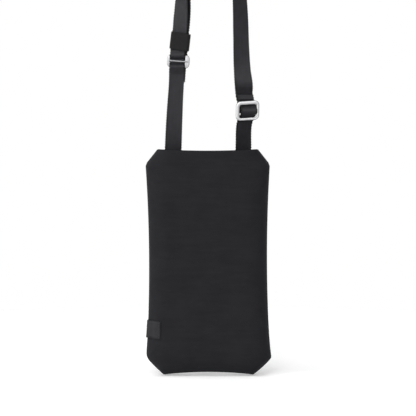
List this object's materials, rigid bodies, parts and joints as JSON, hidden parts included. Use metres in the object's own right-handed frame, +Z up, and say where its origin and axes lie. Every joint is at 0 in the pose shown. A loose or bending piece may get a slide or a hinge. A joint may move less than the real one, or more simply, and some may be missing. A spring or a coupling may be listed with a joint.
{
  "type": "phone pouch",
  "caption": "Padded open-top phone pouch with cut corners on an adjustable webbing strap with a metal slide, a metal buckle, an elastic keeper and a side label.",
  "frame": {"origin": "where a peg carries the strap: the middle of the strap's underside at the top of its loop", "axes": "+Z up along the hanging pouch, -Y towards the viewer of the pouch's front, +X to that viewer's right"},
  "size_m": [0.12, 0.0218, 0.4462],
  "materials": {
    "pouch_fabric": "matte fine weave",
    "padding_foam": "closed-cell foam",
    "lining_fabric": "thin plain weave",
    "webbing": "ribbed woven tape",
    "elastic": "ribbed elastic",
    "silver_metal": "satin silver plating",
    "magnet_steel": "nickel",
    "label_tape": "woven label, bare",
    "thread": "twisted thread"
  },
  "bodies": {
    "straps": {"shoulder_strap": "webbing", "left_tab": "webbing", "right_tab": "webbing", "hem_stitching": "thread", "fold_stitching": "thread"},
    "pouch": {"back_panel": "pouch_fabric", "back_padding": "padding_foam", "back_lining": "lining_fabric", "back_mouth_hem": "pouch_fabric", "back_magnet": "magnet_steel", "left_strap_anchor": "webbing", "right_strap_anchor": "webbing", "left_anchor_stitching": "thread", "right_anchor_stitching": "thread"},
    "front_wall": {"front_panel": "pouch_fabric", "front_padding": "padding_foam", "front_lining": "lining_fabric", "front_mouth_hem": "pouch_fabric", "front_magnet": "magnet_steel", "side_label": "label_tape", "label_stitching": "thread"},
    "adjuster": {"adjuster_frame": "silver_metal", "adjuster_bar": "silver_metal"},
    "keeper": {"keeper_band": "elastic"},
    "buckle": {"buckle_frame": "silver_metal", "buckle_bar": "silver_metal"}
  },
  "joints": [
    {"name": "pouch_swing", "type": "hinge", "parent": "straps", "child": "pouch", "pos_m": [0, -0.0014, -0.226], "axis": [1, 0, 0], "range_deg": [-75, 75]},
    {"name": "mouth_open", "type": "hinge", "parent": "pouch", "child": "front_wall", "pos_m": [0, -0.00095, -0.445], "axis": [1, 0, 0], "range_deg": [0, 5], "stiffness_Nm_per_rad": 0.6},
    {"name": "adjuster_slide", "type": "slide", "parent": "straps", "child": "adjuster", "axis": [0.0656, 0, 0.9978], "range_m": [-0.0075, 0.008]},
    {"name": "keeper_slide", "type": "slide", "parent": "adjuster", "child": "keeper", "axis": [0.0656, 0, 0.9978], "range_m": [-0.003, 0.006]},
    {"name": "buckle_tilt", "type": "hinge", "parent": "straps", "child": "buckle", "pos_m": [0.038, 0.0016, -0.1893], "axis": [0.9978, 0, 0.0657], "range_deg": [-6, 6]}
  ]
}
